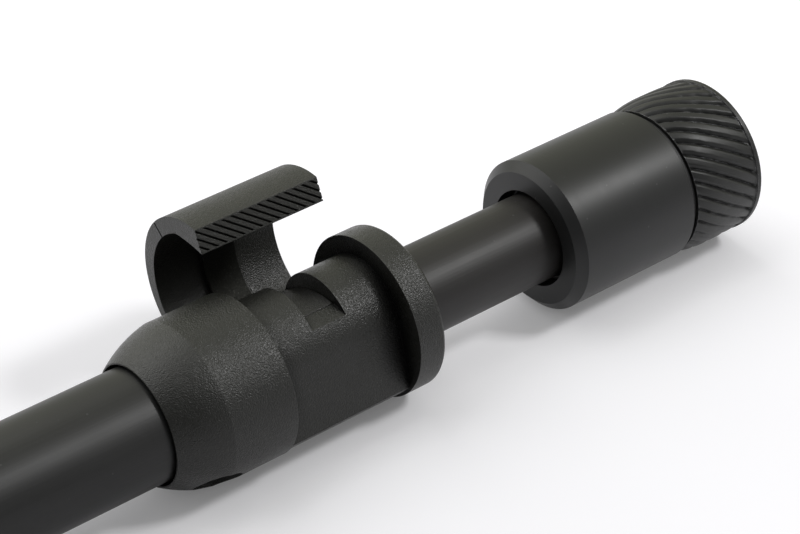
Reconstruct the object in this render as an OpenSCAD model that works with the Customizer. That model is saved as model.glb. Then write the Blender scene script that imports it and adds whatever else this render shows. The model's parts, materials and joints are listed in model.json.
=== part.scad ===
// Telescopic bank stick with a cam lever collar and a threaded head with a lock ring.
// It lies along X: the ground point is at the -X end, the head at the +X end, Z is up.
// The origin is on the axis, in the face of the shoulder that the ground stops against.

/* [Ground point] */
// Length of the point in front of its shoulder
point_len = 52; // [40:1:90]
// Diameter of the shank that goes into the ground
point_d = 10; // [8.5:0.5:13]
// Length of the cone at the tip
point_cone = 22; // [12:1:30]
// Thickness of the shoulder that closes the outer tube
shoulder_len = 4; // [3:0.5:8]
// Diameter of the stud behind the shoulder
stud_d = 8; // [6:0.5:10]
// Length of the stud
stud_len = 16; // [10:1:18]
// Length of the plug that takes the stud
plug_len = 20; // [19:1:30]
// Thickness of the plug's seal ring
seal_d = 1.6; // [1.2:0.1:2]

/* [Tubes] */
// Diameter of the outer tube
outer_d = 19; // [17:0.1:22]
// Wall of the outer tube
outer_wall = 1.2; // [1.1:0.1:1.6]
// Length of the outer tube
outer_len = 176; // [150:1:400]
// Space between the two tubes, filled by the slide ring
slide_space = 0.7; // [0.6:0.05:1.2]
// Wall of the inner tube
inner_wall = 1; // [0.8:0.1:1.6]
// How far the inner tube is drawn out, from the collar to the head
draw_out = 29.3; // [6:0.1:50]
// Gap over the plug when the inner tube is pushed right in
foot_gap = 3.7; // [1:0.1:12]
// Thickness of the foot plug's flange
foot_flange = 3; // [2:0.5:6]
// Length of the ring that slides in the outer tube
slide_ring_len = 12; // [8:1:16]
// Length of the sleeve that stops the inner tube at full reach
stop_len = 8; // [5:1:12]
// Diameter of the cross pins in the foot and in the head
cross_pin_d = 2.5; // [1.5:0.1:4]

/* [Collar] */
// Wall of the collar over the outer tube
collar_wall = 4.16; // [4:0.02:6]
// Length over which the outer tube is seated in the collar
seat_len = 17; // [14:0.5:18]
// Wall between that seat and the lever's recess
seat_wall = 0.8; // [0.5:0.1:3]
// Length of the curved boot at the collar's mouth
boot_len = 8.3; // [7.5:0.1:10]
// Radius of the boot's curved side
boot_bow = 22; // [14:1:60]
// Wall at the edge of the mouth
mouth_wall = 0.25; // [0.2:0.05:1]
// Gap round the outer tube at the mouth
mouth_gap = 0.55; // [0.2:0.05:0.8]
// Length of the lever's recess
recess_len = 23.8; // [20:0.1:32]
// Length of the flange ring at the collar's end
flange_len = 5.2; // [4.5:0.1:9]
// How far the flange ring stands above the collar
flange_lip = 0.29; // [0.1:0.01:1]
// Rounding of the flange ring's far edge
flange_round = 0.7; // [0.2:0.1:1.5]
// Wall of the recessed core over the inner tube
core_wall = 1.78; // [1.6:0.02:2]
// How far the recessed core lies behind the axis
core_back = 0.72; // [0.5:0.02:0.9]
// How far the recessed core lies above the axis
core_up = 1.38; // [1.2:0.02:1.5]
// Depth of the bottom skin's step at the recess
skin_step = 0.26; // [0.1:0.02:0.6]
// Length of the bush in the outer tube's mouth
bush_len = 14; // [8:1:20]
// Thickness of the bush's flange
bush_flange = 2.2; // [1.5:0.1:2.6]
// Length of the wiper ring in the flange
wiper_len = 2.6; // [1.5:0.1:3.4]
// Diameter of the head of the screw that holds the collar
screw_head_d = 7.9; // [6:0.1:8.4]
// Thickness of the screw's head
screw_head = 1.8; // [1.2:0.1:2.6]
// Diameter of the screw's shank
screw_d = 4; // [3:0.1:5]
// Distance from the collar's mouth to the screw
screw_from_mouth = 7.5; // [6.5:0.1:9]
// Angle of the screw round the axis
screw_turn = 223; // [200:1:250]

/* [Lever] */
// Gap between the shut lever and the collar's outer surface
lever_flush = 0.09; // [0.05:0.01:0.4]
// Wall of the lever where it is halfway round
lever_wall = 1.8; // [1.4:0.05:2]
// Gap between the lever and the recess at each end
lever_side_gap = 0.15; // [0.1:0.05:1]
// How far the lever's inner curve lies behind the axis when it is shut
lever_back = 0.66; // [0.3:0.02:0.8]
// How far the lever's inner curve lies below the axis when it is shut
lever_down = 0.75; // [0.6:0.02:0.9]
// Angle through which the lever opens
lever_swing = 76.3; // [60:0.1:78]
// Depth of the hinge pin's centre below the collar's surface
hinge_depth = 1.46; // [1.4:0.02:1.8]
// Angle of the hinge round the axis
hinge_turn = -23.8; // [-26:0.1:-22]
// Diameter of the hinge pin
pin_d = 2.5; // [2:0.1:2.8]
// Wall of the lever's eye round the pin
eye_wall = 1; // [0.8:0.05:1.2]
// Angle of the seam between the lever and its grip, with the lever shut
seam_turn = 116.3; // [100:0.5:130]
// How far the grip's tip reaches past the middle of the collar's flat
grip_reach = 2.85; // [2.4:0.05:3.2]
// Radius of the grip's inner curve from its tip
grip_bow = 26; // [18:1:60]
// Angle of the grip's ribbed face, with the lever shut
face_turn = 142; // [138:1:146]
// Spacing of the ribs along the grip
rib_pitch = 1.71; // [1.2:0.01:3]
// Width of the grooves between the ribs
rib_groove = 0.5; // [0.3:0.05:0.9]
// Depth of the grooves between the ribs
rib_depth = 0.34; // [0.2:0.02:0.6]
// Slant of the ribs from the length of the grip
rib_slant = 36.6; // [25:0.5:60]
// Plain border along both long edges of the ribbed face
rib_border = 0.25; // [0:0.05:1]
// Height of the lever's inner rib
cam_rib = 1.2; // [0.6:0.1:1.3]
// Width of the lever's inner rib
cam_rib_w = 6.2; // [3:0.1:10]
// Distance from the recess's start to the inner rib
cam_rib_start = 8.85; // [5:0.05:12]

/* [Clamp pad] */
// Gap between the pad and its window, on each side
pad_gap = 0.15; // [0.05:0.01:0.15]
// How far the pad moves in when the lever shuts
pad_travel = 0.2; // [0.1:0.05:0.3]
// Radius of the pad's outer curve, which goes on in the pocket's floor
pad_bow = 16.5; // [15.5:0.1:18]
// Height of that curve over the inner tube, where it comes closest
pad_lift = 0.61; // [0.56:0.01:0.8]
// Angle where that curve comes closest to the tube
bow_turn = 77; // [74:0.5:80]
// Angle of the pad's push on the tube
pad_turn = 50; // [46:1:54]
// Reach of the pad from its line of push to the hinge's side
pad_side = 4; // [2:0.1:5]

/* [Head] */
// Diameter of the head's shell
head_d = 26.62; // [26:0.02:30]
// Length of the head's shell
head_len = 25.54; // [24:0.02:40]
// Length of the chamfer at the shell's near end
head_bevel_len = 1.5; // [0.5:0.1:3]
// Width of that chamfer
head_bevel_w = 1.56; // [0.5:0.02:2.5]
// Depth of the recess round the inner tube
head_recess = 3.7; // [2:0.1:6]
// Gap between the inner tube and the side of the recess
head_recess_gap = 0.95; // [0.7:0.05:1.4]
// Length of the inner tube held in the head
head_socket = 17.7; // [14:0.1:20]
// Length of the core's spigot in the inner tube
spigot_len = 14; // [8:0.5:40]
// Wall of the shell round the core's flange
shell_wall = 1.86; // [1.2:0.02:3]
// Diameter of the head's neck, on which the lock ring turns
neck_d = 19.2; // [18:0.1:20.4]
// How far the neck's end lies inside the lock ring
neck_inset = 1; // [0.4:0.1:2]
// Outer diameter of the threaded insert
insert_d = 12.4; // [11:0.1:15]
// Metal left behind the insert in the core
insert_back = 4.2; // [3:0.1:5]
// Diameter of the tapped hole, for a 3/8 inch 20 thread
thread_hole_d = 8.4; // [6:0.1:10]
// Depth of the tapped hole
thread_depth = 13; // [8:0.5:13.5]

/* [Lock ring] */
// Gap between the shell and the lock ring
lock_gap = 1.16; // [0.9:0.02:2.5]
// Length of the lock ring
lock_len = 14.6; // [13:0.1:20]
// Largest diameter of the lock ring
lock_d = 27.56; // [26.6:0.02:32]
// How much smaller the lock ring's radius is at its near edge
lock_swell = 0.85; // [0.2:0.05:1.2]
// How much smaller the lock ring's radius is at its far rim
lock_rim = 0.93; // [0.2:0.01:1.2]
// Number of ridges round the lock ring
ridges = 32; // [16:1:48]
// Depth of the valleys between the ridges
ridge_depth = 0.5; // [0.2:0.05:0.8]
// Turn of a ridge over the length of the lock ring
ridge_twist = 40.4; // [-60:0.1:60]
// Wall of the threaded sleeve in the lock ring
sleeve_wall = 1.57; // [1:0.02:2]
// Thickness of the friction ring under the lock ring
friction_len = 0.7; // [0.4:0.05:0.75]

/* [Fits] */
// Gap between pieces that are pressed, screwed or glued together
seat_gap = 0.03; // [0.01:0.01:0.05]
// Running gap of the tubes, the hinge pin and the lock ring
run_gap = 0.08; // [0.05:0.01:0.1]

/* [Hidden] */
$fn = 96;
far = 60;
cut = 0.01;
outer_r = outer_d / 2;
outer_bore_r = outer_r - outer_wall;
inner_r = outer_bore_r - slide_space;
inner_d = 2 * inner_r;
inner_bore_r = inner_r - inner_wall;

// Places along the axis, from the shoulder of the ground point
tube_x = shoulder_len;
plug_end = tube_x + plug_len;
tube_end = tube_x + outer_len;
seat_end = tube_end + bush_flange;
mouth_x = tube_end - seat_len;
recess_x = seat_end + seat_wall;
recess_end = recess_x + recess_len;
collar_end = recess_end + flange_len;
head_x = collar_end + draw_out;
foot_x = plug_end + foot_gap + foot_flange + draw_out;
inner_end = head_x + head_socket;
shell_end = head_x + head_len;
lock_x = shell_end + lock_gap;
neck_end = lock_x + lock_len - neck_inset;

// Inside the tubes: seal groove, foot, stop and cross pins
groove_len = seal_d + 0.2;
groove_x = tube_x + (plug_len - groove_len) / 2;
groove_r = outer_bore_r - seal_d;
end_play = 0.2;
slide_x = foot_x + end_play;
stop_x = slide_x + slide_ring_len + end_play;
foot_rim = 0.4;
foot_pin_x = foot_x + slide_ring_len / 2;
head_pin_x = inner_end - spigot_len / 2;
cross_pin_len = inner_d - 0.1;
cross_hole_d = cross_pin_d + 2 * seat_gap;

// Collar, across the axis: drawn with Y to the right and Z up
collar_r = outer_r + collar_wall;
flange_r = collar_r + flange_lip;
skin_r = collar_r - skin_step;
skin_to = 318;
core_r = inner_r + core_wall;
core_at = [core_back, core_up];
hinge_r = collar_r - hinge_depth;
hinge_at = hinge_r * [cos(hinge_turn), sin(hinge_turn)];
bush_r = inner_r + run_gap;
mouth_relief = 3;
wiper_r = inner_r + 1.6;
wiper_end = collar_end - 0.8;
screw_tip = bush_r + 0.1;
screw_hole_r = screw_d / 2 + seat_gap;

// Hinge: bosses, pin and the lever's eye
boss_len = 5;
boss_wall = 0.3;
pin_seat = 4;
eye_r = pin_d / 2 + eye_wall;
eye_gap = 0.35;

// Lever, drawn shut and then swung open about the hinge
lever_r = collar_r - lever_flush;
lever_in_r = lever_r - lever_wall;
lever_in_at = [lever_back, -lever_down];
lever_x = recess_x + lever_side_gap;
lever_len = recess_len - 2 * lever_side_gap;
cam_rib_x = recess_x + cam_rib_start;
cam_rib_lead = 18;
cam_rib_from = hinge_turn + cam_rib_lead;
tongue_len = 1.6;
tongue_wall = 0.9;
tongue_inset = 2;
seam_gap = 0.3;

// Flat at the collar's front and the grip's tip, which lies over it when shut
flat_turn = 166.3;
flat_dir = [cos(flat_turn), sin(flat_turn)];
core_flat = core_at * flat_dir + core_r;
grip_gap = 0.8;
grip_flat = core_flat + grip_gap;
grip_corner = grip_flat * flat_dir - grip_reach * [flat_dir[1], -flat_dir[0]];
grip_bow_tilt = asin(1.4 * grip_reach / grip_bow);
grip_bow_at = on_circle(grip_corner, -grip_bow, flat_turn + grip_bow_tilt);
face_dir = [cos(face_turn), sin(face_turn)];
face_along = grip_corner * face_dir;
face_len = sqrt(lever_r * lever_r - grip_corner * grip_corner + face_along * face_along) - face_along;

// Clamp pad and its pocket, drawn with the pad off the tube
pad_in_r = inner_r + seat_gap;
pad_in_at = pad_travel * [cos(pad_turn), sin(pad_turn)];
pad_reach = inner_r - 0.1;
pad_foot = 0.4 * inner_r;
bow_at = (inner_r + pad_lift - pad_bow) * [cos(bow_turn), sin(bow_turn)];
pocket_x = cam_rib_x - pad_gap;
pocket_len = cam_rib_w + 2 * pad_gap;
pocket_from = 0;
pocket_to = 150;

// Lock ring: the first valley's angle at the near edge, and where the ridges end
ridge_phase = 5.8;
ridge_end = 0.86;
friction_gap = 0.1;
friction_inset = 1.4;
sleeve_bore_r = neck_d / 2 + run_gap;
sleeve_inset = 0.2;

// A point on a circle, at an angle
function on_circle(centre, radius, angle) = centre + radius * [cos(angle), sin(angle)];

// A profile of [radius, distance along X] points, turned about the axis
module turned(profile) {
    rotate([0, 90, 0]) rotate_extrude() polygon(profile);
}

// A plain rod along X, from one place to another, on the axis or at a [Y, Z] point
module rod(from, to, radius, at = [0, 0]) {
    translate([from, at[0], at[1]]) rotate([0, 90, 0]) cylinder(h = to - from, r = radius);
}

// A tube on the axis
module pipe(from, to, radius, bore) {
    difference() {
        rod(from, to, radius);
        rod(from - 1, to + 1, bore);
    }
}

// A ring of round section on the axis
module round_ring(at, radius, thick) {
    translate([at, 0, 0]) rotate([0, 90, 0]) rotate_extrude()
        translate([radius, 0]) circle(d = thick, $fn = 32);
}

// A section drawn across the axis, drawn out along X
module across(from, length) {
    translate([from, 0, 0]) rotate([90, 0, 90]) linear_extrude(length) children();
}

// The side of a line that faces away from the given direction
module behind(direction, distance) {
    rotate(direction) translate([-far, -far]) square([far + distance, 2 * far]);
}

// A wedge about the axis, from one angle to another
module wedge(from, to) {
    steps = ceil((to - from) / 30);
    polygon([[0, 0], for (i = [0 : steps]) on_circle([0, 0], far, from + (to - from) * i / steps)]);
}

// Swings its children about the hinge pin
module about_hinge(angle) {
    translate([0, hinge_at[0], hinge_at[1]]) rotate([angle, 0, 0])
        translate([0, -hinge_at[0], -hinge_at[1]]) children();
}

// Places a pin's hole or body upright through the axis
module cross_rod(x, length, diameter) {
    translate([x, 0, -length / 2]) cylinder(h = length, d = diameter);
}

// Places its children on the screw's line, at a distance from the axis
module screw_place(depth) {
    translate([mouth_x + screw_from_mouth, 0, 0]) rotate([screw_turn - 90, 0, 0])
        translate([0, 0, depth]) children();
}

// Hole for the screw's shank
module screw_hole() {
    screw_place(0) cylinder(h = far, r = screw_hole_r);
}

module ground_point() {
    bevel = 1.5;
    tip_r = 0.4;
    point_r = point_d / 2;
    stud_r = stud_d / 2;
    stud_end = tube_x + stud_len;
    color("#8d9093") turned([[0, -point_len], [tip_r, -point_len], [point_r, point_cone - point_len],
        [point_r, 0], [outer_r - bevel, 0], [outer_r, bevel], [outer_r, tube_x], [stud_r, tube_x],
        [stud_r, stud_end - 1], [stud_r - 1, stud_end], [0, stud_end]]);
}

module point_plug() {
    bevel = 0.8;
    plug_r = outer_bore_r - seat_gap;
    bore_r = stud_d / 2 + seat_gap;
    groove_end = groove_x + groove_len;
    color("#55585b") turned([[bore_r, tube_x], [plug_r, tube_x], [plug_r, groove_x], [groove_r, groove_x],
        [groove_r, groove_end], [plug_r, groove_end], [plug_r, plug_end - bevel],
        [plug_r - bevel, plug_end], [bore_r, plug_end]]);
}

module plug_seal() {
    color("#1a1a1a") round_ring(groove_x + groove_len / 2, groove_r + seal_d / 2, seal_d - 0.04);
}

module outer_tube() {
    color("#2b2c2b") difference() {
        pipe(tube_x, tube_end, outer_r, outer_bore_r);
        screw_hole();
    }
}

module upper_bush() {
    spigot_r = outer_bore_r - seat_gap;
    color("#d8d5cb") difference() {
        turned([[bush_r, tube_end - bush_len], [spigot_r, tube_end - bush_len], [spigot_r, tube_end],
            [outer_r, tube_end], [outer_r, seat_end], [bush_r, seat_end]]);
        screw_hole();
    }
}

// Outline of the recessed core, with its flat front and the skin left below it
module core_section() {
    difference() {
        union() {
            translate(core_at) circle(core_r);
            intersection() {
                circle(skin_r);
                behind(flat_turn, core_flat);
                translate(core_at) wedge(flat_turn, skin_to);
            }
        }
        translate(hinge_at) circle(eye_r + eye_gap);
    }
}

// Boot and body of the collar, from its mouth to the recess
module collar_boot() {
    steps = 12;
    mouth_r = outer_r + mouth_gap + mouth_wall;
    rise = collar_r - mouth_r;
    chord = norm([boot_len, rise]);
    depth = sqrt(boot_bow * boot_bow - chord * chord / 4);
    centre = [(mouth_r + collar_r) / 2, boot_len / 2] + depth / chord * [-boot_len, rise];
    start = atan2(-centre[1], mouth_r - centre[0]);
    step = (atan2(boot_len - centre[1], collar_r - centre[0]) - start) / steps;
    bow = [for (i = [0 : steps]) on_circle(centre, boot_bow, start + step * i)];
    translate([mouth_x, 0, 0]) turned(concat([[0, 0]], bow,
        [[collar_r, recess_x - mouth_x + cut], [0, recess_x - mouth_x + cut]]));
}

// Flange ring at the collar's end
module collar_flange() {
    centre = [flange_r - flange_round, collar_end - flange_round];
    edge = [for (i = [0 : 6]) on_circle(centre, flange_round, 15 * i)];
    turned(concat([[0, recess_end - cut], [flange_r, recess_end - cut]], edge, [[0, collar_end]]));
}

// Strip along the pad's push, which bounds the pad or, with a gap, its window
module pad_strip(gap, drop) {
    rotate(pad_turn) translate([pad_foot - drop, -pad_side - gap])
        square([far, pad_side + pad_reach + 2 * gap]);
}

// Space for the clamp pad: a pocket in the core with a window to the inner tube
module pad_pocket() {
    across(pocket_x, pocket_len) {
        difference() {
            wedge(pocket_from, pocket_to);
            translate(bow_at) circle(pad_bow);
        }
        pad_strip(pad_gap, pad_gap + pad_travel);
    }
}

module collar() {
    wide_r = outer_r + mouth_gap;
    seat_r = outer_r + seat_gap;
    relief_end = mouth_x + mouth_relief;
    color("#2e2e2c") difference() {
        union() {
            collar_boot();
            across(recess_x, recess_len) core_section();
            collar_flange();
            rod(recess_x - boss_len, recess_x, eye_r + boss_wall, hinge_at);
            rod(recess_end, collar_end, eye_r + boss_wall, hinge_at);
        }
        rod(mouth_x - 1, seat_end + seat_gap, seat_r);
        turned([[0, mouth_x - cut], [wide_r, mouth_x - cut], [outer_r, relief_end], [0, relief_end]]);
        rod(tube_end, collar_end + 1, bush_r);
        rod(wiper_end - wiper_len, wiper_end, wiper_r);
        pad_pocket();
        screw_place(outer_r - 1) cylinder(h = far, d = screw_head_d + 2 * seat_gap);
        rod(recess_x - pin_seat, collar_end + 1, pin_d / 2 + seat_gap, hinge_at);
    }
}

module collar_screw() {
    head_at = outer_r + seat_gap;
    socket = screw_head * 0.65;
    color("#3a3a3a") difference() {
        union() {
            screw_place(head_at) cylinder(h = screw_head, d = screw_head_d);
            screw_place(screw_tip) cylinder(h = head_at - screw_tip + cut, d = screw_d);
        }
        screw_place(head_at + screw_head - socket) cylinder(h = screw_head, d = screw_d, $fn = 6);
    }
}

module wiper_ring() {
    color("#202020") pipe(wiper_end - wiper_len, wiper_end, wiper_r, bush_r);
}

module hinge_pin() {
    color("#9a9c9e") rod(recess_x - pin_seat + end_play, collar_end, pin_d / 2, hinge_at);
}

// Wall of the shut lever, from the hinge to the tip of the grip
module lever_section() {
    difference() {
        circle(lever_r);
        intersection() {
            translate(lever_in_at) circle(lever_in_r);
            translate(grip_bow_at) circle(grip_bow);
        }
        translate(grip_corner) rotate(face_turn) translate([-far, 0]) square([2 * far, far]);
    }
}

// Section of the lever's inner rib, which pushes the clamp pad
module cam_rib_section() {
    intersection() {
        translate(lever_in_at) difference() {
            circle(lever_in_r + cut);
            circle(lever_in_r - cam_rib);
        }
        wedge(cam_rib_from, seam_turn);
    }
}

module cam_lever() {
    inset = tongue_inset - seat_gap;
    color("#2f2f2d") about_hinge(-lever_swing) difference() {
        union() {
            across(lever_x, lever_len) intersection() {
                lever_section();
                wedge(hinge_turn, seam_turn);
            }
            across(cam_rib_x, cam_rib_w) cam_rib_section();
            rod(lever_x, lever_x + lever_len, eye_r, hinge_at);
        }
        rod(lever_x - 1, lever_x + lever_len + 1, pin_d / 2 + run_gap, hinge_at);
        across(lever_x + inset, lever_len - 2 * inset) tongue(seat_gap);
    }
}

// Tongue of the grip, which sits in the end of the lever's wall
module tongue(gap) {
    seam_dir = [cos(seam_turn), sin(seam_turn)];
    middle = (lever_r + lever_in_r + lever_in_at * seam_dir) / 2;
    rotate(seam_turn) translate([middle - tongue_wall / 2 - gap, -tongue_len - gap])
        square([tongue_wall + 2 * gap, 2 * tongue_len + gap]);
}

// Slanted grooves across the grip's ribbed face
module face_grooves() {
    run = face_len / sin(rib_slant);
    count = ceil((lever_len + face_len / tan(rib_slant)) / rib_pitch);
    lift = 0.1;
    half = rib_groove / 2;
    translate([lever_x, grip_corner[0], grip_corner[1]]) rotate([face_turn, 0, 0]) intersection() {
        for (i = [0 : count])
            translate([i * rib_pitch, 0, 0]) rotate([0, 0, 180 - rib_slant])
                translate([-run, 0, 0]) rotate([90, 0, 90]) linear_extrude(3 * run)
                    polygon([[-half, lift], [half, lift], [0, -rib_depth]]);
        translate([-lift, rib_border, -far / 2])
            cube([lever_len + 2 * lift, face_len - 2 * rib_border, far]);
    }
}

module lever_grip() {
    color("#31312f") about_hinge(-lever_swing) difference() {
        union() {
            across(lever_x, lever_len) difference() {
                intersection() {
                    lever_section();
                    wedge(seam_turn, seam_turn + 90);
                }
                rotate(seam_turn) translate([0, -far]) square([far, far + seam_gap]);
            }
            across(lever_x + tongue_inset, lever_len - 2 * tongue_inset) tongue(0);
        }
        face_grooves();
    }
}

module clamp_pad() {
    color("#3b3b39") across(cam_rib_x, cam_rib_w) difference() {
        intersection() {
            translate(bow_at) circle(pad_bow);
            pad_strip(0, 0);
        }
        translate(pad_in_at) circle(pad_in_r);
    }
}

module slide_ring() {
    color("#d8d5cb") pipe(slide_x, slide_x + slide_ring_len, outer_bore_r - run_gap, inner_r + run_gap);
}

module inner_tube() {
    color("#2b2b2b") difference() {
        pipe(foot_x, inner_end, inner_r, inner_bore_r);
        for (x = [foot_pin_x, head_pin_x]) cross_rod(x, far, cross_hole_d);
    }
}

module foot_plug() {
    bevel = 0.6;
    start = foot_x - foot_flange;
    rim_r = inner_r + foot_rim;
    spigot_r = inner_bore_r - seat_gap;
    spigot_end = foot_x + slide_ring_len;
    color("#55585b") difference() {
        turned([[0, start], [rim_r - bevel, start], [rim_r, start + bevel], [rim_r, foot_x],
            [spigot_r, foot_x], [spigot_r, spigot_end], [0, spigot_end]]);
        cross_rod(foot_pin_x, far, cross_hole_d);
    }
}

module foot_pin() {
    color("#9a9c9e") cross_rod(foot_pin_x, cross_pin_len, cross_pin_d);
}

module stop_sleeve() {
    color("#55585b") pipe(stop_x, stop_x + stop_len, outer_bore_r - 1.5 * run_gap, inner_r + seat_gap);
}

module head_core() {
    bevel = 0.5;
    spigot_r = inner_bore_r - seat_gap;
    neck_r = neck_d / 2;
    flange = head_d / 2 - shell_wall - seat_gap;
    flange_end = shell_end - seat_gap;
    color("#3a3b3b") difference() {
        turned([[0, inner_end - spigot_len], [spigot_r, inner_end - spigot_len], [spigot_r, inner_end],
            [flange, inner_end], [flange, flange_end], [neck_r, flange_end],
            [neck_r, neck_end - bevel], [neck_r - bevel, neck_end], [0, neck_end]]);
        rod(inner_end + insert_back - seat_gap, neck_end + 1, insert_d / 2 + seat_gap);
        cross_rod(head_pin_x, inner_d, cross_hole_d);
    }
}

module head_pin() {
    color("#9a9c9e") cross_rod(head_pin_x, cross_pin_len, cross_pin_d);
}

module tube_ring() {
    thick = head_recess_gap - 2 * seat_gap;
    color("#151515") round_ring(head_x + head_recess - thick / 2 - seat_gap,
        inner_r + head_recess_gap / 2, thick);
}

module head_shell() {
    bevel = 0.2;
    outer = head_d / 2;
    bore = inner_r + seat_gap;
    recess_r = inner_r + head_recess_gap;
    flange_r = outer - shell_wall;
    color("#3c3e3e") turned([[recess_r, head_x], [outer - head_bevel_w, head_x],
        [outer, head_x + head_bevel_len], [outer, shell_end - bevel], [outer - bevel, shell_end],
        [flange_r, shell_end], [flange_r, inner_end], [bore, inner_end],
        [bore, head_x + head_recess], [recess_r, head_x + head_recess]]);
}

module thread_insert() {
    color("#8a8782") difference() {
        rod(inner_end + insert_back, neck_end, insert_d / 2);
        rod(neck_end - thread_depth, neck_end + 1, thread_hole_d / 2);
    }
}

module friction_ring() {
    end = lock_x - friction_gap;
    color("#161616") pipe(end - friction_len, end, lock_d / 2 - friction_inset, sleeve_bore_r);
}

// Radius of the lock ring's crests at a share of its length
function crest(s) = lock_d / 2 - lock_swell * pow(max(0, 1 - s / 0.45), 2.6)
    - lock_rim * pow(max(0, (s - 0.8) / 0.2), 4);

module lock_ring() {
    // Share of the ridge's pitch and of the valley's depth, from one valley to the next
    tooth = [[0, 1], [0.2, 0.45], [0.4, 0], [0.68, 0], [0.9, 0.7]];
    stations = [0, 0.05, 0.12, 0.25, 0.45, 0.65, 0.82, ridge_end, 0.93, 0.97, 1];
    per = len(tooth);
    around = ridges * per;
    last = len(stations) - 1;
    points = [for (s = stations, k = [0 : around - 1])
        let (t = tooth[k % per], deep = s == 0 || s >= ridge_end ? 0 : ridge_depth)
        let (turn = 360 * (floor(k / per) + t[0]) / ridges + ridge_twist * s + ridge_phase)
        let (r = crest(s) - deep * t[1])
        [lock_x + lock_len * s, r * cos(turn), r * sin(turn)]];
    sides = [for (j = [0 : last - 1], k = [0 : around - 1])
        let (n = (k + 1) % around, a = j * around, b = a + around)
        each [[a + k, b + k, a + n], [a + n, b + k, b + n]]];
    ends = [[for (k = [0 : around - 1]) k], [for (k = [around - 1 : -1 : 0]) last * around + k]];
    color("#262624") difference() {
        polyhedron(points, concat(sides, ends));
        rod(lock_x - 1, lock_x + lock_len + 1, sleeve_bore_r + sleeve_wall + seat_gap);
    }
}

module ring_sleeve() {
    color("#55585b") pipe(lock_x + sleeve_inset, lock_x + lock_len - 3 * sleeve_inset,
        sleeve_bore_r + sleeve_wall, sleeve_bore_r);
}

ground_point();
point_plug();
plug_seal();
outer_tube();
upper_bush();
collar();
collar_screw();
wiper_ring();
hinge_pin();
cam_lever();
lever_grip();
clamp_pad();
slide_ring();
inner_tube();
foot_plug();
foot_pin();
stop_sleeve();
head_core();
head_pin();
tube_ring();
head_shell();
thread_insert();
friction_ring();
lock_ring();
ring_sleeve();
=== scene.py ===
import json
import math

import bpy
from mathutils import Matrix, Vector, noise


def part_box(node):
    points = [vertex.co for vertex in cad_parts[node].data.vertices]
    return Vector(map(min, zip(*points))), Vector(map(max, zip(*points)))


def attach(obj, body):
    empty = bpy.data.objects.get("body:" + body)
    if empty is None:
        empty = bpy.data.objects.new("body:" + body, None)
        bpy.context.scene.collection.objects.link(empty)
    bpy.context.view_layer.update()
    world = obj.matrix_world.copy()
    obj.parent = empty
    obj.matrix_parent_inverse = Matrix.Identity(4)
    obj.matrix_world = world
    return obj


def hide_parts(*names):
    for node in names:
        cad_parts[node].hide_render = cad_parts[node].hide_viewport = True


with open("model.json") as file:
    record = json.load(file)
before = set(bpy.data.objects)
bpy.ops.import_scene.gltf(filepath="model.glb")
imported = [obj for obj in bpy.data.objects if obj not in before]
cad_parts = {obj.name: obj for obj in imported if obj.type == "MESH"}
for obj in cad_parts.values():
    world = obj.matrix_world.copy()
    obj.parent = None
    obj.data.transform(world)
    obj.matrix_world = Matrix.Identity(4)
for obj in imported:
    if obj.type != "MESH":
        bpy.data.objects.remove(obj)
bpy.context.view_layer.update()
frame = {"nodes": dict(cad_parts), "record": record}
nodes = frame["nodes"]
mm = 0.001
print("frame loaded,", len(nodes), "nodes")

# Camera, fitted to the photograph's view of the stick

cameraLook = {
    "place": (0.002439, -0.261772, 0.248995),
    "right": (0.777878, -0.628415, 0.0),
    "forward": (0.509788, 0.631036, -0.584731),
    "lens": 117.0,
    "sensor": 36.0,
    "shift": (-0.0006, 0.0006),
    "clip": (0.01, 30.0),
}


def placeCamera(look):
    data = bpy.data.cameras.new("photoCamera")
    data.lens = look["lens"]
    data.sensor_width = look["sensor"]
    data.shift_x, data.shift_y = look["shift"]
    data.clip_start, data.clip_end = look["clip"]
    camera = bpy.data.objects.new("photoCamera", data)
    back = -Vector(look["forward"]).normalized()
    right = Vector(look["right"])
    right = (right - right.dot(back) * back).normalized()  # square to the view
    up = back.cross(right)
    turn = Matrix((right, up, back)).transposed()
    camera.matrix_world = Matrix.Translation(look["place"]) @ turn.to_4x4()
    bpy.context.scene.collection.objects.link(camera)
    bpy.context.scene.camera = camera


placeCamera(cameraLook)
print("camera placed")

# Short ways to place shader nodes

bevelSamples = 4


def feed(tree, value, socket):  # a number is set on the socket, and what another node puts out is linked
    if isinstance(value, (int, float, tuple)):
        socket.default_value = value
    else:
        tree.links.new(value, socket)


def mathNode(tree, operation, first, second):
    node = tree.nodes.new("ShaderNodeMath")
    node.operation = operation
    feed(tree, first, node.inputs[0])
    feed(tree, second, node.inputs[1])
    return node.outputs[0]


def vectorNode(tree, operation, first, second):
    node = tree.nodes.new("ShaderNodeVectorMath")
    node.operation = operation
    feed(tree, first, node.inputs[0])
    feed(tree, second, node.inputs[1])
    return node.outputs


def spread(tree, value, fromLow, fromHigh, toLow=0.0, toHigh=1.0):
    node = tree.nodes.new("ShaderNodeMapRange")
    feed(tree, value, node.inputs["Value"])
    feed(tree, fromLow, node.inputs["From Min"])
    feed(tree, fromHigh, node.inputs["From Max"])
    feed(tree, toLow, node.inputs["To Min"])
    feed(tree, toHigh, node.inputs["To Max"])
    return node.outputs["Result"]


def blendColour(tree, amount, low, high):
    node = tree.nodes.new("ShaderNodeMix")
    node.data_type = "RGBA"
    tree.links.new(amount, node.inputs["Factor"])
    for value, socket in ((low, node.inputs[6]), (high, node.inputs[7])):  # its two colour inputs
        feed(tree, (*value, 1) if isinstance(value, tuple) else value, socket)
    return node.outputs[2]  # its colour output


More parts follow.
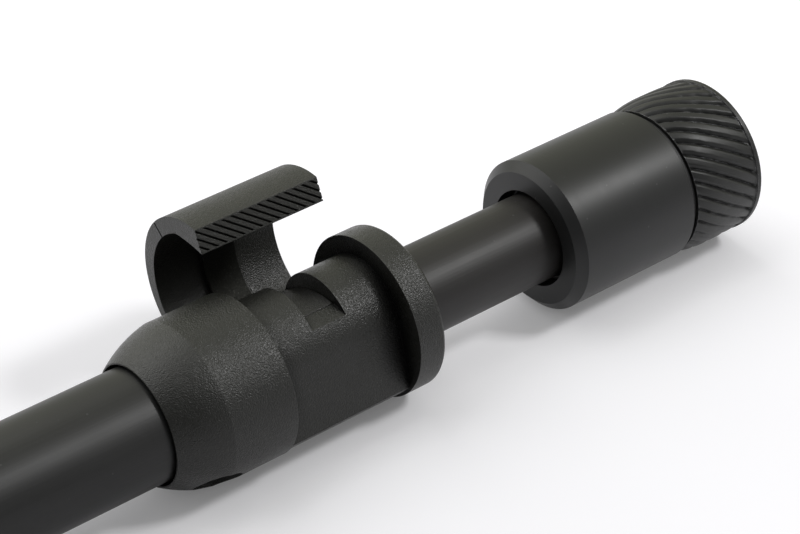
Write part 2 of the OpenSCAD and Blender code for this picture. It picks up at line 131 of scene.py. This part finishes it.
def noiseAt(tree, place, scale, detail, rough):
    node = tree.nodes.new("ShaderNodeTexNoise")
    feed(tree, place, node.inputs["Vector"])
    feed(tree, scale, node.inputs["Scale"])
    feed(tree, detail, node.inputs["Detail"])
    feed(tree, rough, node.inputs["Roughness"])
    return node.outputs["Fac"]


def cellsAt(tree, place, scale):  # the distance from each cell's middle, and three random numbers of the cell
    cells = tree.nodes.new("ShaderNodeTexVoronoi")
    feed(tree, place, cells.inputs["Vector"])
    feed(tree, scale, cells.inputs["Scale"])
    split = tree.nodes.new("ShaderNodeSeparateColor")
    tree.links.new(cells.outputs["Color"], split.inputs["Color"])
    return cells.outputs["Distance"], split.outputs


def objectPlace(tree):
    return tree.nodes.new("ShaderNodeTexCoord").outputs["Object"]


def roundedNormal(tree, width):  # the surface's direction as if its edges were rounded
    node = tree.nodes.new("ShaderNodeBevel")
    node.samples = bevelSamples
    feed(tree, width, node.inputs["Radius"])
    return node.outputs["Normal"]


def mirroredRays(tree, path):
    return mathNode(tree, "MAXIMUM", path["Is Glossy Ray"], path["Is Transmission Ray"])


# Light: two softboxes, and a plain surround

softboxLook = {
    "frontBox": {"aim": (0.51, -0.42, 0.755), "away": 0.9, "size": (0.16, 0.16), "power": 3.2},
    "backBox": {"aim": (-0.30, 0.62, 0.72), "away": 1.1, "size": (1.3, 1.3), "power": 9.0},
}
lampMiddle = (0.20, 0.0, 0.0)  # what the softboxes face
surroundLook = {
    "mirrored": 0.74, "soft": 0.25, "backIs": (0.6285, 0.7778, 0.0),
    "darkFrom": -1.0, "darkTo": -0.16, "darkShare": 0.05,
    "warmFrom": -0.2, "warmTo": 0.6, "backColour": (0.99, 1.0, 0.82), "frontColour": (1.0, 1.0, 1.0),
}


def hangSoftbox(name, look):
    data = bpy.data.lights.new(name, "AREA")
    data.shape = "RECTANGLE"
    data.size, data.size_y = look["size"]
    data.energy = look["power"]
    lamp = bpy.data.objects.new(name, data)
    aim = Vector(look["aim"]).normalized()
    lamp.location = Vector(lampMiddle) + look["away"] * aim
    lamp.rotation_euler = aim.to_track_quat("Z", "Y").to_euler()
    bpy.context.scene.collection.objects.link(lamp)


def fillSurround(look):  # white to the camera, and for the light a studio that is dark on its near side
    world = bpy.data.worlds.new("paleSurround")
    bpy.context.scene.world = world
    world.use_nodes = True
    tree = world.node_tree
    background = tree.nodes["Background"]
    path = tree.nodes.new("ShaderNodeLightPath").outputs
    mirrored = mirroredRays(tree, path)
    direction = tree.nodes.new("ShaderNodeTexCoord").outputs["Generated"]
    toBack = vectorNode(tree, "DOT_PRODUCT", direction, look["backIs"])["Value"]
    darkest = look["darkShare"] * look["mirrored"]
    nearSide = spread(tree, toBack, look["darkFrom"], look["darkTo"], darkest, look["mirrored"])
    level = tree.nodes.new("ShaderNodeMix")
    feed(tree, mirrored, level.inputs["Factor"])
    feed(tree, look["soft"], level.inputs["A"])
    feed(tree, nearSide, level.inputs["B"])
    strength = mathNode(tree, "MAXIMUM", level.outputs["Result"], path["Is Camera Ray"])
    tree.links.new(strength, background.inputs["Strength"])
    warm = spread(tree, toBack, look["warmFrom"], look["warmTo"])
    warmMirrored = mathNode(tree, "MULTIPLY", warm, mirrored)
    tint = blendColour(tree, warmMirrored, look["frontColour"], look["backColour"])
    tree.links.new(tint, background.inputs["Color"])


for boxName, boxLook in softboxLook.items():
    hangSoftbox(boxName, boxLook)
fillSurround(surroundLook)
bpy.context.scene.view_settings.view_transform = "Standard"
print("lamps hung")

# Table top, as high as the lowest point of the collar's flange

tableLook = {
    "width": 6.0, "colour": (0.78, 0.775, 0.795), "shadeReach": 10 * mm, "shadeDepth": 0.3,
    "glowNear": 0.28, "glowFar": 0.54, "glowFrom": 0.12, "glowTo": 0.30,
    "mirroredNear": 0.04, "mirroredFar": 0.34, "mirroredFrom": 0.085, "mirroredTo": 0.15,
}


def paintTable(look):  # matt, with a painted glow, for the camera and for reflections, that grows away from the camera, and a painted shadow where it fades under the stick
    paint = bpy.data.materials.new("tablePaint")
    paint.use_nodes = True
    tree = paint.node_tree
    tree.nodes.clear()
    ahead = Vector((cameraLook["forward"][0], cameraLook["forward"][1], 0)).normalized()
    place = tree.nodes.new("ShaderNodeNewGeometry").outputs["Position"]
    away = vectorNode(tree, "DOT_PRODUCT", place, tuple(ahead))["Value"]
    seenGlow = spread(tree, away, look["glowFrom"], look["glowTo"], look["glowNear"], look["glowFar"])
    mirroredGlow = spread(tree, away, look["mirroredFrom"], look["mirroredTo"],
                          look["mirroredNear"], look["mirroredFar"])
    path = tree.nodes.new("ShaderNodeLightPath").outputs
    toCamera = mathNode(tree, "MULTIPLY", path["Is Camera Ray"], seenGlow)
    toMirrors = mathNode(tree, "MULTIPLY", mirroredRays(tree, path), mirroredGlow)
    # painted shadow: the glow fades where ambient occlusion finds the stick close by
    shade = tree.nodes.new("ShaderNodeAmbientOcclusion")
    shade.inputs["Distance"].default_value = look["shadeReach"]
    paintedTableShadow = spread(tree, shade.outputs["AO"], 0, 1, look["shadeDepth"], 1)
    glow = tree.nodes.new("ShaderNodeEmission")
    glowing = mathNode(tree, "MULTIPLY", mathNode(tree, "ADD", toCamera, toMirrors), paintedTableShadow)
    tree.links.new(glowing, glow.inputs["Strength"])
    matt = tree.nodes.new("ShaderNodeBsdfDiffuse")
    matt.inputs["Color"].default_value = (*look["colour"], 1)
    both = tree.nodes.new("ShaderNodeAddShader")
    tree.links.new(matt.outputs[0], both.inputs[0])
    tree.links.new(glow.outputs[0], both.inputs[1])
    out = tree.nodes.new("ShaderNodeOutputMaterial")
    tree.links.new(both.outputs[0], out.inputs["Surface"])
    return paint


def layTable(look):
    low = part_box("collar")[0].z
    half = look["width"] / 2
    corners = [(-half, -half, low), (half, -half, low), (half, half, low), (-half, half, low)]
    mesh = bpy.data.meshes.new("tableTop")
    mesh.from_pydata(corners, [], [(0, 1, 2, 3)])
    mesh.materials.append(paintTable(look))
    table = bpy.data.objects.new("tableTop", mesh)
    bpy.context.scene.collection.objects.link(table)


layTable(tableLook)
print("table laid")

# Effects that several finishes use, each a node group below the values that no finish changes


def startGroup(name, inputs, outputs):
    group = bpy.data.node_groups.new(name, "ShaderNodeTree")
    for label, value in inputs.items():
        kind = "NodeSocketVector" if isinstance(value, tuple) else "NodeSocketFloat"
        group.interface.new_socket(label, in_out="INPUT", socket_type=kind).default_value = value
    for label in outputs:
        group.interface.new_socket(label, in_out="OUTPUT", socket_type="NodeSocketFloat")
    return group, group.nodes.new("NodeGroupInput").outputs, group.nodes.new("NodeGroupOutput").inputs


def useGroup(tree, group, **values):
    node = tree.nodes.new("ShaderNodeGroup")
    node.node_tree = group
    for label, value in values.items():
        node.inputs[label].default_value = value
    return node.outputs


grainEffect = {"unevenScale": 0.7, "unevenDetail": 1.0, "unevenRough": 0.5, "domeShare": 0.5,
               "speckleFrom": 0.72, "speckleTo": 1.0, "pitFrom": 0.45, "pitTo": 0.8}


def mouldGrainGroup(effect):  # small domes with pits between them, and a bright speckle on some
    group, given, made = startGroup("mouldGrain", {"Scale": 3200.0}, ("Speckle", "Pit", "Height"))
    place = objectPlace(group)
    fromMiddle, chance = cellsAt(group, place, given["Scale"])
    group.links.new(spread(group, chance[0], effect["speckleFrom"], effect["speckleTo"]), made["Speckle"])
    group.links.new(spread(group, fromMiddle, effect["pitFrom"], effect["pitTo"]), made["Pit"])
    unevenScale = mathNode(group, "MULTIPLY", given["Scale"], effect["unevenScale"])
    uneven = noiseAt(group, place, unevenScale, effect["unevenDetail"], effect["unevenRough"])
    domes = mathNode(group, "MULTIPLY", fromMiddle, effect["domeShare"])
    group.links.new(mathNode(group, "SUBTRACT", uneven, domes), made["Height"])
    return group


linesEffect = {"detail": 3.0, "rough": 0.6, "lineFrom": 0.3, "lineTo": 0.7}


def toolLinesGroup(effect):  # noise that is stretched into the lines of a cut or drawn surface
    group, given, made = startGroup("toolLines", {"Stretch": (4000.0, 20.0, 20.0)}, ("Line", "Height"))
    stretched = vectorNode(group, "MULTIPLY", objectPlace(group), given["Stretch"])["Vector"]
    lines = noiseAt(group, stretched, 1.0, effect["detail"], effect["rough"])
    group.links.new(spread(group, lines, effect["lineFrom"], effect["lineTo"]), made["Line"])
    group.links.new(lines, made["Height"])
    return group


rubEffect = {"turnFrom": 0.97, "turnTo": 0.80, "detail": 3.0, "rough": 0.5,
             "brokenFrom": 0.35, "brokenTo": 0.6}


def edgeRubGroup(effect):  # where an edge is rubbed, in broken patches
    group, given, made = startGroup("edgeRub", {"Width": 0.18 * mm, "Breakup": 900.0}, ("Rub",))
    flat = group.nodes.new("ShaderNodeNewGeometry").outputs["Normal"]
    alike = vectorNode(group, "DOT_PRODUCT", roundedNormal(group, given["Width"]), flat)["Value"]
    turned = spread(group, alike, effect["turnFrom"], effect["turnTo"])
    patches = noiseAt(group, objectPlace(group), given["Breakup"], effect["detail"], effect["rough"])
    broken = spread(group, patches, effect["brokenFrom"], effect["brokenTo"])
    group.links.new(mathNode(group, "MULTIPLY", turned, broken), made["Rub"])
    return group


handlingEffect = {"detail": 4.0, "rough": 0.55, "smudgeFrom": 0.35, "smudgeTo": 0.65,
                  "dustScale": 14.0, "dustChance": 0.93, "dustEdge": 0.16, "dustCore": 0.08}


def handlingGroup(effect):  # cloudy smudges, and specks of dust in a few cells
    group, given, made = startGroup("handling", {"Scale": 60.0}, ("Smudge", "Dust"))
    place = objectPlace(group)
    cloudy = noiseAt(group, place, given["Scale"], effect["detail"], effect["rough"])
    group.links.new(spread(group, cloudy, effect["smudgeFrom"], effect["smudgeTo"]), made["Smudge"])
    dustScale = mathNode(group, "MULTIPLY", given["Scale"], effect["dustScale"])
    fromMiddle, chance = cellsAt(group, place, dustScale)
    chosen = mathNode(group, "GREATER_THAN", chance[1], effect["dustChance"])
    speck = spread(group, fromMiddle, effect["dustEdge"], effect["dustCore"])
    group.links.new(mathNode(group, "MULTIPLY", chosen, speck), made["Dust"])
    return group


def creviceGroup():  # how far a piece closes in on itself, within a reach: the mask of the painted crevice shade
    group, given, made = startGroup("crevice", {"Reach": 6 * mm, "Open": 0.92, "Closed": 0.5}, ("Shut",))
    seen = group.nodes.new("ShaderNodeAmbientOcclusion")
    seen.only_local = True
    feed(group, given["Reach"], seen.inputs["Distance"])
    group.links.new(spread(group, seen.outputs["AO"], given["Open"], given["Closed"]), made["Shut"])
    return group


mouldGrain = mouldGrainGroup(grainEffect)
toolLines = toolLinesGroup(linesEffect)
edgeRub = edgeRubGroup(rubEffect)
handling = handlingGroup(handlingEffect)
crevice = creviceGroup()
print("effect groups made")

# Steps that several finishes share

# Painted shade in crevices: a near-black colour, and through Metallic no pale gloss
paintedCreviceShade = {"colour": (0.0015, 0.0015, 0.0015), "paintedShade": 0.8}


def startFinish(name):
    finish = bpy.data.materials.new(name)
    finish.use_nodes = True
    tree = finish.node_tree
    return finish, tree, tree.nodes["Principled BSDF"]


def paintCreviceShade(tree, shader, colour, limits):  # paints shade into crevices, near black and without gloss; returns a mask for Metallic, as black metal mirrors little
    shut = useGroup(tree, crevice, **limits)["Shut"]
    tree.links.new(blendColour(tree, shut, colour, paintedCreviceShade["colour"]), shader.inputs["Base Color"])
    return mathNode(tree, "MULTIPLY", shut, paintedCreviceShade["paintedShade"])


def raiseBump(tree, shader, height, look):
    bump = tree.nodes.new("ShaderNodeBump")
    bump.inputs["Strength"].default_value = look["bump"]
    bump.inputs["Distance"].default_value = look["relief"]
    tree.links.new(height, bump.inputs["Height"])
    if "edgeRound" in look:
        tree.links.new(roundedNormal(tree, look["edgeRound"]), bump.inputs["Normal"])
    tree.links.new(bump.outputs["Normal"], shader.inputs["Normal"])


# Glass filled nylon of the collar, the lever, its grip and the pad

collarLook = {
    "colour": (0.0078, 0.0081, 0.0060), "pitShadeColour": (0.0062, 0.0064, 0.0048), "grain": 5200.0,
    "fibre": (0.085, 0.083, 0.075), "speckle": 0.12, "handling": 70.0,
    "worn": (0.045, 0.045, 0.042), "rub": 0.3, "rubWidth": 0.22 * mm,
    "rough": (0.32, 0.40), "speckleRough": -0.10, "pitRough": 0.10, "gloss": 0.48,
    "bump": 1.0, "relief": 0.085 * mm, "edgeRound": 0.15 * mm,
    "crevice": {"Reach": 6 * mm, "Open": 0.92, "Closed": 0.5},
}
# The rib by its places along the stick, and by its reach from the axis of the lever's curve; shade is painted
# on it
leverBand = {"from": 191.85 * mm, "to": 198.05 * mm, "axis": (12.73 * mm, 6.27 * mm), "reach": 11.3 * mm,
             "rougher": 0.2, "paintedShade": 0.75}
leverLook = {**collarLook, "colour": (0.0098, 0.0100, 0.0078), "band": leverBand,
             "crevice": {"Reach": 4 * mm, "Open": 0.75, "Closed": 0.3}}
gripLook = {**collarLook, "colour": (0.0130, 0.0132, 0.0100), "rough": (0.36, 0.44),
            "crevice": leverLook["crevice"]}
padLook = {**collarLook, "colour": (0.012, 0.012, 0.011), "rough": (0.38, 0.46), "rub": 0.1}


def shadedRibBand(tree, band):  # the lever's inner rib: no grain, a higher roughness, and painted shade
    place = objectPlace(tree)
    split = tree.nodes.new("ShaderNodeSeparateXYZ")
    tree.links.new(place, split.inputs[0])
    after = mathNode(tree, "GREATER_THAN", split.outputs["X"], band["from"])
    before = mathNode(tree, "LESS_THAN", split.outputs["X"], band["to"])
    section = vectorNode(tree, "MULTIPLY", place, (0, 1, 1))["Vector"]
    fromAxis = vectorNode(tree, "DISTANCE", section, (0, *band["axis"]))["Value"]
    inside = mathNode(tree, "LESS_THAN", fromAxis, band["reach"])
    return mathNode(tree, "MULTIPLY", mathNode(tree, "MULTIPLY", after, before), inside)


def nylonFinish(name, look):
    finish, tree, shader = startFinish(name)
    grain = useGroup(tree, mouldGrain, Scale=look["grain"])
    rub = useGroup(tree, edgeRub, Width=look["rubWidth"])
    wear = useGroup(tree, handling, Scale=look["handling"])
    # painted shade: the colour darkens in the pits between the grain's domes
    pitShaded = blendColour(tree, grain["Pit"], look["colour"], look["pitShadeColour"])
    fibres = mathNode(tree, "MULTIPLY", grain["Speckle"], look["speckle"])
    speckled = blendColour(tree, fibres, pitShaded, look["fibre"])
    rubbed = blendColour(tree, mathNode(tree, "MULTIPLY", rub["Rub"], look["rub"]), speckled, look["worn"])
    # painted shade in crevices
    paintedShade = paintCreviceShade(tree, shader, rubbed, look["crevice"])
    rough = spread(tree, wear["Smudge"], 0, 1, *look["rough"])
    for mask, change in (("Speckle", look["speckleRough"]), ("Pit", look["pitRough"])):
        rough = mathNode(tree, "ADD", rough, mathNode(tree, "MULTIPLY", grain[mask], change))
    height = grain["Height"]
    if "band" in look:
        band = look["band"]
        dull = shadedRibBand(tree, band)
        height = mathNode(tree, "MULTIPLY", height, mathNode(tree, "SUBTRACT", 1.0, dull))
        rough = mathNode(tree, "ADD", rough, mathNode(tree, "MULTIPLY", dull, band["rougher"]))
        # painted shade on the rib: it is darkened through Metallic
        paintedShade = mathNode(tree, "MAXIMUM", paintedShade, mathNode(tree, "MULTIPLY", dull, band["paintedShade"]))
    tree.links.new(rough, shader.inputs["Roughness"])
    tree.links.new(paintedShade, shader.inputs["Metallic"])
    shader.inputs["Specular IOR Level"].default_value = look["gloss"]
    raiseBump(tree, shader, height, look)
    return finish


# Black anodised aluminium of the tubes, the head and the lock ring

outerLook = {
    "colour": (0.0042, 0.0042, 0.0040), "lineColour": (0.011, 0.011, 0.0105), "lineTint": 0.5,
    "lines": (25.0, 2600.0, 2600.0), "handling": 55.0, "dust": 0.25, "dustColour": (0.12, 0.12, 0.12),
    "bare": (0.22, 0.22, 0.23), "rub": 0.25, "rubWidth": 0.12 * mm, "rubBreakup": 1400.0,
    "rough": (0.385, 0.435), "lineRough": 0.05, "gloss": 0.45,
    "bump": 0.3, "relief": 0.05 * mm, "edgeRound": 0.1 * mm,
    "crevice": {"Reach": 3 * mm, "Open": 0.75, "Closed": 0.3},
}
innerLook = {**outerLook, "colour": (0.0085, 0.0066, 0.0058), "rough": (0.415, 0.465)}
headLook = {**outerLook, "colour": (0.0040, 0.0043, 0.0043), "lines": (4200.0, 14.0, 14.0),
            "lineTint": 0.25, "rough": (0.375, 0.425), "bump": 0.12}
ringLook = {**outerLook, "colour": (0.0065, 0.0068, 0.0060), "lines": (1500.0, 1500.0, 1500.0),
            "rub": 1.0, "rubWidth": 0.22 * mm, "bump": 0.5}


def anodisedFinish(name, look):
    finish, tree, shader = startFinish(name)
    lines = useGroup(tree, toolLines, Stretch=look["lines"])
    rub = useGroup(tree, edgeRub, Width=look["rubWidth"], Breakup=look["rubBreakup"])
    wear = useGroup(tree, handling, Scale=look["handling"])
    lineTint = mathNode(tree, "MULTIPLY", lines["Line"], look["lineTint"])
    lined = blendColour(tree, lineTint, look["colour"], look["lineColour"])
    dust = mathNode(tree, "MULTIPLY", wear["Dust"], look["dust"])
    dusty = blendColour(tree, dust, lined, look["dustColour"])
    rubbedThrough = mathNode(tree, "MULTIPLY", rub["Rub"], look["rub"])
    rubbed = blendColour(tree, rubbedThrough, dusty, look["bare"])
    # painted shade in crevices
    paintedShade = paintCreviceShade(tree, shader, rubbed, look["crevice"])
    tree.links.new(mathNode(tree, "MAXIMUM", paintedShade, rubbedThrough), shader.inputs["Metallic"])
    smudged = spread(tree, wear["Smudge"], 0, 1, *look["rough"])
    rough = mathNode(tree, "ADD", smudged, mathNode(tree, "MULTIPLY", lines["Line"], look["lineRough"]))
    tree.links.new(rough, shader.inputs["Roughness"])
    shader.inputs["Specular IOR Level"].default_value = look["gloss"]
    raiseBump(tree, shader, lines["Height"], look)
    return finish


# Bare metal of the plugs, the pins, the ground point and the thread insert

alloyLook = {
    "colour": (0.62, 0.63, 0.64), "lineColour": (0.72, 0.73, 0.74), "lines": (3000.0, 20.0, 20.0),
    "dullColour": (0.45, 0.46, 0.47), "dull": 0.35, "handling": 90.0,
    "rough": (0.28, 0.39), "lineRough": 0.06, "bump": 0.25, "relief": 0.05 * mm, "edgeRound": 0.1 * mm,
}
pinLook = {**alloyLook, "colour": (0.55, 0.55, 0.56), "rough": (0.20, 0.31)}
pointLook = {**alloyLook, "colour": (0.48, 0.48, 0.49), "rough": (0.25, 0.36)}
insertLook = {**alloyLook, "colour": (0.50, 0.49, 0.47), "rough": (0.23, 0.34)}


def bareMetalFinish(name, look):
    finish, tree, shader = startFinish(name)
    lines = useGroup(tree, toolLines, Stretch=look["lines"])
    wear = useGroup(tree, handling, Scale=look["handling"])
    lined = blendColour(tree, lines["Line"], look["colour"], look["lineColour"])
    dull = mathNode(tree, "MULTIPLY", wear["Smudge"], look["dull"])
    tree.links.new(blendColour(tree, dull, lined, look["dullColour"]), shader.inputs["Base Color"])
    smudged = spread(tree, wear["Smudge"], 0, 1, *look["rough"])
    rough = mathNode(tree, "ADD", smudged, mathNode(tree, "MULTIPLY", lines["Line"], look["lineRough"]))
    tree.links.new(rough, shader.inputs["Roughness"])
    shader.inputs["Metallic"].default_value = 1.0
    raiseBump(tree, shader, lines["Height"], look)
    return finish


# Acetal of the bush and the slide ring, milky under its surface

acetalLook = {
    "colour": (0.68, 0.66, 0.60), "soiled": (0.56, 0.54, 0.48), "handling": 110.0,
    "lines": (3000.0, 30.0, 30.0), "rough": (0.34, 0.46), "milky": 0.08, "milkyDepth": 1 * mm,
    "bump": 0.2, "relief": 0.05 * mm,
}


def acetalFinish(name, look):
    finish, tree, shader = startFinish(name)
    wear = useGroup(tree, handling, Scale=look["handling"])
    lines = useGroup(tree, toolLines, Stretch=look["lines"])
    colour = blendColour(tree, wear["Smudge"], look["colour"], look["soiled"])
    tree.links.new(colour, shader.inputs["Base Color"])
    tree.links.new(spread(tree, lines["Line"], 0, 1, *look["rough"]), shader.inputs["Roughness"])
    shader.inputs["Subsurface Weight"].default_value = look["milky"]
    shader.inputs["Subsurface Scale"].default_value = look["milkyDepth"]
    raiseBump(tree, shader, lines["Height"], look)
    return finish


# Rubber of the seals and rings

rubberLook = {
    "colour": (0.010, 0.010, 0.010), "bloom": (0.022, 0.022, 0.022), "grain": 5200.0, "handling": 150.0,
    "rough": (0.45, 0.62), "bump": 0.12, "relief": 0.1 * mm,
}


def rubberFinish(name, look):
    finish, tree, shader = startFinish(name)
    grain = useGroup(tree, mouldGrain, Scale=look["grain"])
    wear = useGroup(tree, handling, Scale=look["handling"])
    colour = blendColour(tree, wear["Smudge"], look["colour"], look["bloom"])
    tree.links.new(colour, shader.inputs["Base Color"])
    tree.links.new(spread(tree, wear["Smudge"], 0, 1, *look["rough"]), shader.inputs["Roughness"])
    raiseBump(tree, shader, grain["Height"], look)
    return finish


# Blackened steel of the collar's screw, bare at its edges

screwLook = {
    "colour": (0.014, 0.014, 0.014), "worn": (0.30, 0.30, 0.30), "rub": 0.6, "rubMetal": 0.7,
    "rubWidth": 0.15 * mm, "rubBreakup": 1800.0, "handling": 200.0, "rough": (0.38, 0.52),
}


def blackenedFinish(name, look):
    finish, tree, shader = startFinish(name)
    rub = useGroup(tree, edgeRub, Width=look["rubWidth"], Breakup=look["rubBreakup"])
    wear = useGroup(tree, handling, Scale=look["handling"])
    worn = mathNode(tree, "MULTIPLY", rub["Rub"], look["rub"])
    tree.links.new(blendColour(tree, worn, look["colour"], look["worn"]), shader.inputs["Base Color"])
    tree.links.new(spread(tree, wear["Smudge"], 0, 1, *look["rough"]), shader.inputs["Roughness"])
    tree.links.new(mathNode(tree, "MULTIPLY", rub["Rub"], look["rubMetal"]), shader.inputs["Metallic"])
    return finish


# One finish for each slot of the record

finishes = {
    "outer_anodised": anodisedFinish("mattAnodised", outerLook),
    "inner_anodised": anodisedFinish("satinAnodised", innerLook),
    "head_anodised": anodisedFinish("turnedAnodised", headLook),
    "ring_black": anodisedFinish("ringAnodised", ringLook),
    "collar_nylon": nylonFinish("collarNylon", collarLook),
    "lever_nylon": nylonFinish("leverNylon", leverLook),
    "grip_nylon": nylonFinish("gripNylon", gripLook),
    "pad_nylon": nylonFinish("padNylon", padLook),
    "inner_alloy": bareMetalFinish("turnedAlloy", alloyLook),
    "pin_steel": bareMetalFinish("groundPin", pinLook),
    "point_steel": bareMetalFinish("turnedPoint", pointLook),
    "insert_steel": bareMetalFinish("threadSteel", insertLook),
    "bush_acetal": acetalFinish("naturalAcetal", acetalLook),
    "seal_rubber": rubberFinish("blackRubber", rubberLook),
    "screw_black": blackenedFinish("blackScrew", screwLook),
}

for row in frame["record"]["subparts"]:
    dressed = nodes[row["node"]]
    dressed.data.materials.clear()
    dressed.data.materials.append(finishes[row["material_slot"]])
print("finishes given to", len(nodes), "nodes")

# Meshes from rings of points round the stick's axis


def aroundAxis(x, radius, angle):
    return (x, radius * math.cos(angle), radius * math.sin(angle))


def plainRing(x, radius, count, turn=0.0):
    return [aroundAxis(x, radius, turn + math.tau * step / count) for step in range(count)]


def wrapGrid(rings, closeLoop):  # faces from ring to ring, and from the last to the first if the loop closes
    count = len(rings[0])
    points = [point for ring in rings for point in ring]
    bands = len(rings) if closeLoop else len(rings) - 1
    faces = []
    for band in range(bands):
        nearRow = band * count
        farRow = (band + 1) % len(rings) * count
        for step in range(count):
            beside = (step + 1) % count
            faces.append((nearRow + step, nearRow + beside, farRow + beside, farRow + step))
    return points, faces


def addPiece(name, points, faces, body, slot, replaced):
    mesh = bpy.data.meshes.new(name)
    mesh.from_pydata(points, [], faces)
    mesh.validate()
    mesh.materials.append(finishes[slot])
    piece = bpy.data.objects.new(name, mesh)
    bpy.context.scene.collection.objects.link(piece)
    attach(piece, body)
    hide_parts(replaced)
    return piece


def smoothBelow(piece, degrees):
    bpy.ops.object.select_all(action="DESELECT")
    piece.select_set(True)
    bpy.context.view_layer.objects.active = piece
    bpy.ops.object.shade_smooth_by_angle(angle=math.radians(degrees))


# Lock ring with slanted ridges, finer than its node
# Its turns are in degrees, and its starts and ends are shares of the length from the near end

lockRingLook = {
    "ridges": 32, "stepsPerRidge": 16, "rowsAlong": 60, "lipRows": 10, "smoothBelow": 32,
    "firstValley": 5.8, "twist": 40.4, "valleyDepth": 0.56 * mm, "valleyShare": 0.6, "valleySharpness": 1.4,
    "startRun": 0.02, "ridgeEnd": 0.90, "endRun": 0.06, "endDepth": 0.4,
    "nearSwell": 0.85 * mm, "swellEnd": 0.45, "swellCurve": 2.6, "dip": 0.22 * mm, "dipFrom": 0.5,
    "lipFrom": 0.912, "lipTo": 0.955, "lipFall": 0.9 * mm,
    "ragged": 0.15, "wander": 0.04, "raggedScale": 700.0, "boreGap": 0.03 * mm, "boreChamfer": 0.3 * mm,
}


def knurlLockRing(look):
    low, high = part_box("lock_ring")
    length = high.x - low.x
    around = look["ridges"] * look["stepsPerRidge"]
    ridgeShares = [look["ridgeEnd"] * row / look["rowsAlong"] for row in range(look["rowsAlong"] + 1)]
    lipWidth = 1 - look["lipFrom"]
    lipShares = [look["lipFrom"] + lipWidth * row / look["lipRows"] for row in range(look["lipRows"] + 1)]

    def crest(share):  # radius over the ridges, and of the plain lip past them
        if share < look["lipFrom"]:
            near = look["nearSwell"] * max(0, 1 - share / look["swellEnd"]) ** look["swellCurve"]
            dip = look["dip"] * max(0, (share - look["dipFrom"]) / (look["ridgeEnd"] - look["dipFrom"])) ** 2
            return high.z - near - dip
        return high.z - look["lipFall"] * max(0, (share - look["lipTo"]) / (1 - look["lipTo"])) ** 2

    def valley(share, across, place):  # depth below the crest, slightly uneven from place to place
        if share > look["ridgeEnd"]:
            return 0.0
        uneven = noise.noise(place * look["raggedScale"])
        moved = (across + look["wander"] * uneven) % 1
        fromValley = min(moved, 1 - moved) * 2 / look["valleyShare"]
        shape = max(0, 1 - fromValley) ** look["valleySharpness"]
        ending = look["endDepth"] + (look["ridgeEnd"] - share) / look["endRun"]
        ends = min(1, share / look["startRun"], ending)
        return look["valleyDepth"] * shape * (1 + look["ragged"] * uneven) * ends

    rings = []
    for share in ridgeShares + lipShares:
        x = low.x + length * share
        ring = []
        for step in range(around):
            across = step / look["stepsPerRidge"] % 1
            angle = math.radians(360 * step / around + look["firstValley"] + look["twist"] * share)
            radius = crest(share)
            radius -= valley(share, across, Vector(aroundAxis(x, radius, angle)))
            ring.append(aroundAxis(x, radius, angle))
        rings.append(ring)
    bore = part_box("ring_sleeve")[1].z + look["boreGap"]
    chamfer = look["boreChamfer"]
    firstTurn = math.radians(look["firstValley"])
    lastTurn = firstTurn + math.radians(look["twist"])
    rings.append(plainRing(high.x, bore + chamfer, around, lastTurn))
    rings.append(plainRing(high.x - chamfer, bore, around, lastTurn))
    rings.append(plainRing(low.x, bore, around, firstTurn))
    points, faces = wrapGrid(rings, closeLoop=True)
    piece = addPiece("lockRingKnurled", points, faces, "lock", "ring_black", "lock_ring")
    smoothBelow(piece, look["smoothBelow"])


knurlLockRing(lockRingLook)
print("lock ring knurled")

# Insert with its real thread, 20 turns to the inch

insertThreadLook = {
    "pitch": 25.4 * mm / 20, "crestRadius": 4.2 * mm, "threadDepth": 0.5 * mm, "flankSlope": 2.4,
    "depth": 13 * mm, "runOut": 1.5 * mm, "mouthChamfer": 0.7 * mm, "rimChamfer": 0.2 * mm,
    "middleHole": 0.02 * mm, "around": 72, "perPitch": 8, "smoothBelow": 35,
}


def cutThread(look):
    low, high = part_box("thread_insert")
    outer = high.z
    around = look["around"]
    floorX = high.x - look["depth"]
    rows = round(look["depth"] / look["pitch"] * look["perPitch"])

    def groove(x, angle):
        phase = (x / look["pitch"] - angle / math.tau) % 1
        return look["threadDepth"] * max(0, 1 - abs(phase - 0.5) * look["flankSlope"])

    rings = [plainRing(floorX, look["middleHole"], around)]
    for row in range(rows + 1):
        x = floorX + look["depth"] * row / rows
        mouth = max(0, look["mouthChamfer"] - (high.x - x))
        tail = min(1, (x - floorX) / look["runOut"])
        ring = []
        for step in range(around):
            angle = math.tau * step / around
            radius = look["crestRadius"] + max(mouth, groove(x, angle) * tail)
            ring.append(aroundAxis(x, radius, angle))
        rings.append(ring)
    rings.append(plainRing(high.x, outer - look["rimChamfer"], around))
    rings.append(plainRing(high.x - look["rimChamfer"], outer, around))
    rings.append(plainRing(low.x, outer, around))
    rings.append(plainRing(low.x, look["middleHole"], around))
    points, faces = wrapGrid(rings, closeLoop=False)
    faces.append(tuple(range(around)))  # the hole's floor
    faces.append(tuple(reversed(range(len(points) - around, len(points)))))  # the insert's near end
    piece = addPiece("insertThreaded", points, faces, "inner", "insert_steel", "thread_insert")
    smoothBelow(piece, look["smoothBelow"])


cutThread(insertThreadLook)
print("insert threaded")
